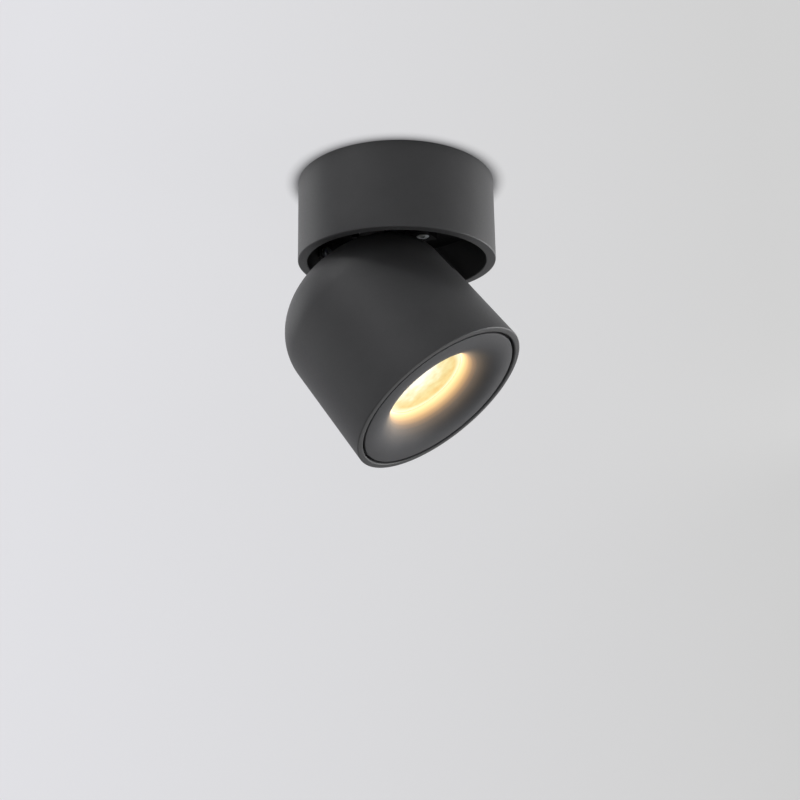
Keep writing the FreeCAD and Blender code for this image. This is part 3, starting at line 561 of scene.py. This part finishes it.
def carve(piece, operation, cutter):
    """Cut a tool out of a piece, or join it on, and leave the tool out of the scene."""
    change = piece.modifiers.new(operation, "BOOLEAN")
    change.operation = operation
    change.solver = "EXACT"
    change.object = cutter
    view = bpy.context.evaluated_depsgraph_get()
    data = bpy.data.meshes.new_from_object(piece.evaluated_get(view))
    piece.modifiers.clear()
    old = piece.data
    piece.data = data
    bpy.data.meshes.remove(old)
    bpy.data.objects.remove(cutter)


def tool(name, rings, place=Matrix()):
    """A closed shape through rings of points, for carving only."""
    mesh = bmesh.new()
    rows = [[mesh.verts.new(place @ point) for point in ring] for ring in rings]
    for low, high in zip(rows, rows[1:]):
        for step in range(len(low)):
            following = (step + 1) % len(low)
            mesh.faces.new((low[step], low[following], high[following], high[step]))
    mesh.faces.new(rows[0])
    mesh.faces.new(rows[-1])
    bmesh.ops.recalc_face_normals(mesh, faces=mesh.faces)
    data = bpy.data.meshes.new(name)
    mesh.to_mesh(data)
    mesh.free()
    made = bpy.data.objects.new(name, data)
    bpy.context.scene.collection.objects.link(made)
    return made


def rectangle(x0, x1, y0, y1, z):
    return [Vector((x0, y0, z)), Vector((x1, y0, z)), Vector((x1, y1, z)), Vector((x0, y1, z))]


inner_radius = HEAD_RADIUS - SHELL_WALL
dome_flat = HEAD_RADIUS - DOME_BOW
inner_bow = DOME_BOW - SHELL_WALL
head_length = HEAD_SIDE + DOME_BOW
snap_reach = HEAD_BORE + SNAP_GROOVE
shell_section = (
    arc((HEAD_BORE + HEAD_RIM, HEAD_RIM), HEAD_RIM, 180, 270)
    + arc((HEAD_RADIUS - HEAD_RIM, HEAD_RIM), HEAD_RIM, 270, 360)
    + [(HEAD_RADIUS, HEAD_SIDE * k / 8) for k in range(1, 8)]
    + arc((dome_flat, HEAD_SIDE), DOME_BOW, 0, 90, DOME_STEPS)
    + [(dome_flat * 0.5, head_length), (0, head_length), (0, head_length - SHELL_WALL)]
    + arc((dome_flat, HEAD_SIDE), inner_bow, 90, 0, DOME_STEPS // 2)
    + [(inner_radius, SINK_SEAT), (HEAD_BORE, SINK_SEAT), (HEAD_BORE, SNAP_DEPTH + SNAP_WIDTH),
       (snap_reach, SNAP_DEPTH + SNAP_WIDTH), (snap_reach, SNAP_DEPTH), (HEAD_BORE, SNAP_DEPTH)]
)
shell = lathe("head_casing", "head", shell_section, charcoal, head_place)
half_slot = ARM_SLOT_WIDTH / 2
past_side = HEAD_RADIUS * 1.2    # the slot's tool runs out past the casing's side and back
past_back = head_length * 1.1
slot_tool = tool("slot_tool", [
    rectangle(-ARM_SLOT_REACH, past_side, -half_slot, half_slot, ARM_SLOT_START),
    rectangle(-ARM_SLOT_REACH, past_side, -half_slot, half_slot, past_back),
], head_place)
pilot_end = SINK_SEAT + BOSS_LENGTH * 0.999    # just inside the boss's end
carve(shell, "DIFFERENCE", slot_tool)
for angle in THIRDS:
    centre = Matrix.Rotation(math.radians(angle), 4, "Z") @ Matrix.Translation((BOSS_CIRCLE, 0, 0))
    boss = tool("boss_tool", [circle(BOSS_RADIUS, SINK_SEAT, 32),
                              circle(BOSS_RADIUS, SINK_SEAT + BOSS_LENGTH, 32)],
                head_place @ centre)
    carve(shell, "UNION", boss)
    pilot = tool("pilot_tool", [circle(SCREW + fit, SINK_SEAT - BOSS_LENGTH, 24),
                                circle(SCREW + fit, pilot_end, 24)],
                 head_place @ centre)
    carve(shell, "DIFFERENCE", pilot)
shell.data.shade_smooth()
shell.data.set_sharp_from_angle(angle=math.radians(38))
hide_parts("head_shell")

# ---------------------------------------------------------------- heat sink and tilt hinge
# The chip's heat goes into a cast aluminium plate with fins behind it. Its two ears carry the
# tilt pin, a shoulder screw through the arm, with a nut that sets how stiffly the head tilts.


def cast_aluminium():
    finish = Finish("cast_aluminium", tone(186, 188, 190), 0.45, metallic=1.0)
    finish.colour(finish.ramp(finish.noise(220, detail=4), (0.3, tone(172, 174, 178)),
                              (0.75, tone(198, 199, 200))))
    finish.roughness(finish.span(finish.noise(1500), 0.4, 0.6))
    finish.bump(finish.noise(2800, detail=4), 0.04 * MM)
    return finish.material


coat(cast_aluminium(), "heat_sink")
coat(zinc, "tilt_pin", "tilt_nut")
SINK_LOW = 21.2 * MM
SINK_SCREW_LENGTH = 10 * MM
sink_places = [head_place @ Matrix.Rotation(math.radians(angle), 4, "Z")
               @ Matrix.Translation((BOSS_CIRCLE, 0, SINK_LOW - SCREW_HEAD_HEIGHT))
               for angle in THIRDS]
sink_size = (SCREW, SINK_SCREW_LENGTH, SCREW_HEAD, SCREW_HEAD_HEIGHT, SCREW_PITCH, SOCKET)
screws("heat_sink_screws", "head", sink_places, sink_size, zinc)

# ---------------------------------------------------------------- light engine
# A chip-on-board light: a white ceramic board with a round patch of yellow phosphor, clamped
# to the heat sink by a white moulded holder with two small screws.


def ceramic():
    finish = Finish("chip_ceramic", tone(228, 228, 224), 0.4)
    finish.colour(finish.ramp(finish.noise(600), (0.3, tone(220, 220, 215)), (0.7, tone(234, 234, 230))))
    finish.bump(finish.noise(3000), 0.005 * MM)
    return finish.material


def phosphor():
    """Warm phosphor over a close grid of light chips."""
    finish = Finish("phosphor", tone(255, 206, 120), 0.5)
    cells = finish.add("ShaderNodeTexVoronoi", feature="F1", distance="CHEBYCHEV")
    cells.inputs["Scale"].default_value = 900
    cells.inputs["Randomness"].default_value = 0.1
    finish.link(finish.place, cells.inputs["Vector"])
    warm = finish.ramp(cells.outputs["Distance"], (0.1, tone(255, 240, 205)), (0.6, tone(255, 190, 96)))
    finish.colour(warm)
    finish.link(warm, finish.shader.inputs["Emission Color"])
    finish.shader.inputs["Emission Strength"].default_value = 2.0
    return finish.material


coat(ceramic(), "chip_board")
coat(phosphor(), "chip_emitter")
coat(white_moulding, "chip_holder")
coat(zinc, "holder_screws")

# ---------------------------------------------------------------- reflector
# A plain spun aluminium cone, bright anodised. It runs from the chip holder's window up to the
# lens, and its rim lies on the lens collar.


def bright_reflector():
    finish = Finish("reflector_metal", tone(245, 240, 226), 0.12, metallic=1.0)
    finish.colour(finish.ramp(finish.noise(500), (0.3, tone(240, 233, 214)), (0.7, tone(249, 245, 234))))
    finish.roughness(finish.span(finish.noise(1800), 0.08, 0.18))
    finish.bump(finish.noise(900), 0.01 * MM)
    return finish.material


coat(bright_reflector(), "reflector")

# ---------------------------------------------------------------- lens
# A round textured glass lens, 37 mm across, with a clear silicone ring behind it. It is solid to
# the eye, its glow painted light: a white place beside its middle, cream, amber, a painted bright rim.

LENS_RADIUS = 18.4676 * MM
LENS_LOW = 11.05 * MM
LENS_HIGH = 12.55 * MM
LENS_BEVEL = 0.3 * MM
THROAT_RADIUS = 17.1676 * MM
LENS_RINGS = 40                  # rings of facets across the outer face
LENS_SIDES = 128
PAINTED_HOT_OFFSET = 8 * MM              # from the lens's middle to its brightest painted place


def head_axis_distance(finish):
    """A point's distance from the head's own axis, in metres, and its place in the head."""
    turned = finish.add("ShaderNodeMapping", vector_type="POINT")
    away = head_place.inverted()
    turned.inputs["Location"].default_value = away.to_translation()
    turned.inputs["Rotation"].default_value = away.to_euler("XYZ")
    finish.link(finish.place, turned.inputs["Vector"])
    parts = finish.add("ShaderNodeSeparateXYZ")
    finish.link(turned.outputs["Vector"], parts.inputs["Vector"])
    across = finish.math("MULTIPLY", parts.outputs["X"], parts.outputs["X"])
    along = finish.math("MULTIPLY", parts.outputs["Y"], parts.outputs["Y"])
    return finish.math("SQRT", finish.math("ADD", across, along)), turned.outputs["Vector"]


def glass_with_painted_glow():
    """Textured glass glowing with painted light: a white place, cream to amber, a bright painted rim."""
    finish = Finish("lens_glass", tone(96, 92, 84), 0.2)
    distance, place = head_axis_distance(finish)
    away = finish.add("ShaderNodeVectorMath", operation="DISTANCE")
    away.inputs[1].default_value = (0, -PAINTED_HOT_OFFSET, LENS_LOW)
    finish.link(place, away.inputs[0])
    mottle = finish.noise(260, detail=2, place=place)
    reach = finish.math("DIVIDE", away.outputs["Value"], LENS_RADIUS * 1.5)
    cooled = finish.math("ADD", reach, finish.span(mottle, -0.24, 0.36))
    # painted light: white near the hot place, cream and amber further out
    body = finish.ramp(
        cooled,
        (0.24, tone(255, 253, 236)),
        (0.42, tone(249, 241, 196)),
        (0.6, tone(240, 222, 156)),
        (0.82, tone(234, 205, 134)),
        (1.0, tone(226, 184, 104)),
    )
    # painted highlight: a bright ring round the lens's edge
    rim = finish.ramp(finish.math("DIVIDE", distance, THROAT_RADIUS),
                      (0.84, (0, 0, 0, 1)), (0.97, (1, 1, 1, 1)))
    lit = finish.add("ShaderNodeMix", data_type="RGBA")
    finish.link(rim, lit.inputs["Factor"])
    finish.link(body, lit.inputs["A"])
    lit.inputs["B"].default_value = tone(255, 246, 208)
    finish.link(lit.outputs["Result"], finish.shader.inputs["Emission Color"])
    finish.shader.inputs["Emission Strength"].default_value = 1.0
    finish.bump(mottle, 0.05 * MM)
    return finish.material


lens_section = (
    [(0, LENS_LOW)]
    + [(LENS_RADIUS * k / LENS_RINGS, LENS_LOW) for k in range(1, LENS_RINGS - 1)]
    + arc((LENS_RADIUS - LENS_BEVEL, LENS_LOW + LENS_BEVEL), LENS_BEVEL, 270, 360, 4)
    + [(LENS_RADIUS, LENS_HIGH), (0, LENS_HIGH)]
)
lens = lathe("lens_disc", "head", lens_section, glass_with_painted_glow(), head_place, LENS_SIDES)
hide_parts("glass_lens")
coat(moulded("clear_silicone", tone(216, 218, 218), tone(206, 208, 208), 0.35), "lens_gasket")

# ---------------------------------------------------------------- glare trim and snap ring
# The dark ring at the face: a flat land that curves into the throat, turned in one piece with
# its skirt and lens collar. A sprung wire ring snaps it into the shell.

TRIM_RECESS = 0.35 * MM
TRIM_FACE = 34.55 * MM
TRIM_FIT = 35.5 * MM
TRIM_SHOULDER = 2.75 * MM
TRIM_LAND = 32 * MM
THROAT_BOW = 16 * MM
THROAT_DEPTH = 10 * MM
TRIM_WALL = 1.6 * MM
SKIRT_END = 8.35 * MM
SKIRT_INNER = 32.95 * MM
COLLAR_INNER = 18.5176 * MM
COLLAR_OUTER = 19.9176 * MM
COLLAR_END = 13.15 * MM
TRIM_EDGE = 0.25 * MM
THROAT_STEPS = 48
PAINTED_GLOW_WIDTH = 6 * MM              # how far past the throat's edge the painted glow reaches


def trim_coat_with_painted_glow():
    """The smooth charcoal coat of the trim, with a painted amber glow close round the lens."""
    finish = powder_coat("trim_coat", tone(70, 70, 72), tone(76, 76, 78), 0.012 * MM)
    distance = head_axis_distance(finish)[0]
    past = finish.math("DIVIDE", finish.math("SUBTRACT", distance, THROAT_RADIUS), PAINTED_GLOW_WIDTH)
    # painted light: an amber glow fading outwards from the throat's edge
    painted_glow = finish.ramp(
        past,
        (0.0, tone(236, 200, 120)),
        (0.12, tone(214, 168, 84)),
        (0.26, tone(164, 118, 56)),
        (0.42, tone(96, 66, 34)),
        (0.62, tone(42, 30, 22)),
        (1.0, (0, 0, 0, 1)),
    )
    finish.link(painted_glow, finish.shader.inputs["Emission Color"])
    finish.shader.inputs["Emission Strength"].default_value = 1.0
    finish.roughness(finish.span(finish.noise(1400), 0.62, 0.76))
    return finish.material


bow_middle = TRIM_RECESS + THROAT_BOW
throat_low = TRIM_RECESS + THROAT_DEPTH
throat_angle = math.degrees(math.asin((bow_middle - throat_low) / THROAT_BOW))
back_bow = THROAT_BOW - TRIM_WALL
back_angle = math.degrees(math.acos((TRIM_LAND - COLLAR_OUTER) / back_bow))
trim_snap = TRIM_FIT - SNAP_GROOVE
trim_coat = trim_coat_with_painted_glow()
trim_section = (
    arc((TRIM_FACE - TRIM_EDGE, TRIM_RECESS + TRIM_EDGE), TRIM_EDGE, 270, 360, 5)
    + [(TRIM_FACE, TRIM_SHOULDER), (TRIM_FIT, TRIM_SHOULDER), (TRIM_FIT, SNAP_DEPTH),
       (trim_snap, SNAP_DEPTH), (trim_snap, SNAP_DEPTH + SNAP_WIDTH),
       (TRIM_FIT, SNAP_DEPTH + SNAP_WIDTH), (TRIM_FIT, SKIRT_END), (SKIRT_INNER, SKIRT_END),
       (SKIRT_INNER, TRIM_RECESS + TRIM_WALL)]
    + arc((TRIM_LAND, bow_middle), back_bow, 270, 180 + back_angle, 16)
    + [(COLLAR_OUTER, COLLAR_END), (COLLAR_INNER, COLLAR_END), (COLLAR_INNER, LENS_LOW),
       (THROAT_RADIUS, LENS_LOW)]
    + arc((TRIM_LAND, bow_middle), THROAT_BOW, 180 + throat_angle, 270, THROAT_STEPS)
)
trim = lathe("trim_ring", "head", trim_section, trim_coat, head_place)
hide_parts("glare_trim")
coat(springy, "trim_snap_ring")

# ---------------------------------------------------------------- lamp light
# The light that leaves the lens, warm and weak. It falls on the throat, whose coat also has
# a painted amber glow close beside the lens.

LAMP_WATTS = 0.06
LAMP_SIZE = THROAT_RADIUS * 1.96
LAMP_GAP = 0.1 * MM              # from the lens to the lamp in front of it
lamp_data = bpy.data.lights.new("lamp_light", "AREA")
lamp_data.shape = "DISK"
lamp_data.size = LAMP_SIZE
lamp_data.energy = LAMP_WATTS
lamp_data.color = (1.0, 0.74, 0.48)
lamp = bpy.data.objects.new("lamp_light", lamp_data)
bpy.context.scene.collection.objects.link(lamp)
lamp.matrix_world = head_place @ Matrix.Translation((0, 0, LENS_LOW - LAMP_GAP))
lamp.parent = frame["bodies"]["head"]
lamp.visible_camera = False

# ---------------------------------------------------------------- room
# A pale ceiling that curves down into a far wall, and a plain pale floor. They are clear from
# behind, so that a view from above the ceiling still shows the lamp.

CAMERA_TURN = math.radians(28.66)
COVE_NEAR = -3.0
COVE_FAR = 2.2
COVE_BEND = 1.6
ROOM_HALF = 6.0
FLOOR_DROP = 2.6
EVEN_SHARE = 0.9                 # how much of the backdrop's look is its even tone
LIGHT_FADE_START = 0.3                 # how far in front of the lamp the painted light fade to the right starts
CONTACT_SHADE = tone(120, 120, 121)
CONTACT_REACH = 6 * MM           # how far the narrow shade where the canopy meets the ceiling goes


def room_paint(name, left, right):
    """Matte paint, clear from behind, that looks evenly lit but for a painted light fade to the right
    and a painted shade at the canopy.
    """
    finish = Finish(name, left, 0.9, specular=0.1)
    turned = finish.add("ShaderNodeMapping")
    turned.inputs["Rotation"].default_value = (0, 0, -CAMERA_TURN)
    finish.link(finish.place, turned.inputs["Vector"])
    parts = finish.add("ShaderNodeSeparateXYZ")
    finish.link(turned.outputs["Vector"], parts.inputs["Vector"])
    # painted light: the colour fades from the lighter left tone to the darker right tone
    ahead = finish.math("ADD", parts.outputs["Y"], LIGHT_FADE_START)
    across = finish.math("DIVIDE", parts.outputs["X"], ahead)
    paint = finish.ramp(finish.math("ADD", across, 0.5), (0.0, left), (1.0, right))
    finish.colour(paint)
    corner = finish.add("ShaderNodeAmbientOcclusion", samples=12)
    corner.inputs["Distance"].default_value = CONTACT_REACH
    even = finish.add("ShaderNodeEmission")
    shade = finish.ramp(corner.outputs["AO"],
                        (0.5, CONTACT_SHADE), (0.8, tone(226, 226, 226)), (1.0, (1, 1, 1, 1)))
    shaded = finish.add("ShaderNodeVectorMath", operation="MULTIPLY")
    finish.link(paint, shaded.inputs[0])
    finish.link(shade, shaded.inputs[1])
    finish.link(shaded.outputs["Vector"], even.inputs["Color"])
    path = finish.add("ShaderNodeLightPath")
    seen = finish.math("ADD", path.outputs["Is Camera Ray"], path.outputs["Is Glossy Ray"])
    seen = finish.math("ADD", seen, path.outputs["Is Transmission Ray"])
    look = finish.add("ShaderNodeMixShader")
    seen = finish.math("MINIMUM", seen, 1.0)
    finish.link(finish.math("MULTIPLY", seen, EVEN_SHARE), look.inputs["Fac"])
    finish.link(finish.shader.outputs["BSDF"], look.inputs[1])
    finish.link(even.outputs["Emission"], look.inputs[2])
    clear = finish.add("ShaderNodeBsdfTransparent")
    side = finish.add("ShaderNodeNewGeometry")
    mix = finish.add("ShaderNodeMixShader")
    finish.link(side.outputs["Backfacing"], mix.inputs["Fac"])
    finish.link(look.outputs["Shader"], mix.inputs[1])
    finish.link(clear.outputs["BSDF"], mix.inputs[2])
    output = finish.tree.nodes["Material Output"]
    finish.link(mix.outputs["Shader"], output.inputs["Surface"])
    return finish.material


def stage_sheet(name, profile, material, face_towards):
    """A wide sheet along the camera's left and right, from its profile of (far, up)."""
    turn = Matrix.Rotation(CAMERA_TURN, 4, "Z")
    mesh = bmesh.new()
    rows = []
    for far, up in profile:
        rows.append([mesh.verts.new(turn @ Vector((side, far, up))) for side in (-ROOM_HALF, ROOM_HALF)])
    for low, high in zip(rows, rows[1:]):
        mesh.faces.new((low[0], low[1], high[1], high[0]))
    mesh.normal_update()
    if sum((face.normal.dot(face_towards - face.calc_center_median()) for face in mesh.faces)) < 0:
        bmesh.ops.reverse_faces(mesh, faces=mesh.faces)
    data = bpy.data.meshes.new(name)
    mesh.to_mesh(data)
    mesh.free()
    data.materials.append(material)
    data.shade_smooth()
    sheet = bpy.data.objects.new(name, data)
    bpy.context.scene.collection.objects.link(sheet)
    sheet.visible_shadow = False         # the soft boxes above the ceiling light the lamp too


inside = Vector((0, 0, -1.0))
cove = [(COVE_NEAR, 0.0), (COVE_FAR - COVE_BEND, 0.0)]
cove += [(COVE_FAR - COVE_BEND + COVE_BEND * math.sin(math.radians(a)),
          -COVE_BEND + COVE_BEND * math.cos(math.radians(a))) for a in range(3, 91, 3)]
cove.append((COVE_FAR, -FLOOR_DROP))
ceiling_paint = room_paint("ceiling_paint", tone(234, 234, 238), tone(216, 216, 216))
floor_paint = room_paint("floor_paint", tone(230, 230, 233), tone(214, 214, 213))
stage_sheet("ceiling", cove, ceiling_paint, inside)
stage_sheet("floor", [(COVE_NEAR, -FLOOR_DROP), (COVE_FAR, -FLOOR_DROP)], floor_paint, inside)

# ---------------------------------------------------------------- studio light
# A soft box behind the lamp at each side brightens its edges. A high one lights the head and
# leaves the canopy's shade on it, and two weak ones in front fill the face. The surround looks
# pale to the camera and in reflections, and lights the lamp only a little.

SURROUND_LIGHT = 0.085           # the surround's strength as a light, where it looks like 1


def soft_box(name, place, aim, size, watts, colour=(1, 1, 1)):
    data = bpy.data.lights.new(name, "AREA")
    data.shape = "RECTANGLE"
    data.size, data.size_y = size
    data.energy = watts
    data.color = colour
    box = bpy.data.objects.new(name, data)
    bpy.context.scene.collection.objects.link(box)
    turn = Matrix.Rotation(CAMERA_TURN, 4, "Z")
    box.location = turn @ Vector(place)
    look = turn @ Vector(aim) - box.location
    box.rotation_euler = look.to_track_quat("-Z", "Y").to_euler()
    return box


soft_box("left_box", (-1.0, 0.5, 0.3), (0, 0, -0.05), (0.35, 0.25), 2.6)
soft_box("right_box", (1.0, 0.36, -0.12), (0, 0, -0.05), (0.8, 0.5), 11.0)
soft_box("high_box", (-0.7, -0.5, 0.85), (0, 0, -0.05), (0.22, 0.22), 2.1)
soft_box("front_box", (-0.14, -0.95, -0.34), (0, 0, -0.05), (0.3, 0.12), 0.75)
soft_box("low_box", (0.2, -0.65, -0.85), (0, 0, -0.05), (0.4, 0.3), 1.1)
world = bpy.data.worlds.new("surround")
bpy.context.scene.world = world
world.use_nodes = True
around = world.node_tree.nodes["Background"]
around.inputs["Color"].default_value = tone(226, 226, 228)
path = world.node_tree.nodes.new("ShaderNodeLightPath")
seen = path.outputs["Is Camera Ray"]
for ray in ("Is Glossy Ray", "Is Transmission Ray"):
    either = world.node_tree.nodes.new("ShaderNodeMath")
    either.operation = "MAXIMUM"
    world.node_tree.links.new(seen, either.inputs[0])
    world.node_tree.links.new(path.outputs[ray], either.inputs[1])
    seen = either.outputs["Value"]
strength = world.node_tree.nodes.new("ShaderNodeMapRange")
strength.inputs["To Min"].default_value = SURROUND_LIGHT
strength.inputs["To Max"].default_value = 1.0
world.node_tree.links.new(seen, strength.inputs["Value"])
world.node_tree.links.new(strength.outputs["Result"], around.inputs["Strength"])

# ---------------------------------------------------------------- camera
# At the photograph's place, below the lamp and looking slightly up. Its place is counted from
# the middle of the canopy's lower rim.

IMAGE_WIDTH = 800
FOCAL_PIXELS = 755.4
CAMERA_PITCH = math.radians(9.582)
CAMERA_ROLL = math.radians(-0.8645)
SENSOR = 36.0
RIM_DROP = 33 * MM
FROM_RIM = Vector((0.4008, -294.0854, -105.4874)) * MM
camera_data = bpy.data.cameras.new("camera")
camera_data.sensor_width = SENSOR
camera_data.lens = FOCAL_PIXELS / IMAGE_WIDTH * SENSOR
camera_data.clip_start = 0.01
camera = bpy.data.objects.new("camera", camera_data)
bpy.context.scene.collection.objects.link(camera)
camera.location = Matrix.Rotation(CAMERA_TURN, 4, "Z") @ FROM_RIM - Vector((0, 0, RIM_DROP))
camera.rotation_mode = "QUATERNION"
camera.rotation_quaternion = (Matrix.Rotation(CAMERA_TURN, 4, "Z")
                              @ Matrix.Rotation(math.radians(90) + CAMERA_PITCH, 4, "X")
                              @ Matrix.Rotation(CAMERA_ROLL, 4, "Z")).to_quaternion()
bpy.context.scene.camera = camera
bpy.context.scene.view_settings.view_transform = "Standard"

bpy.context.view_layer.update()
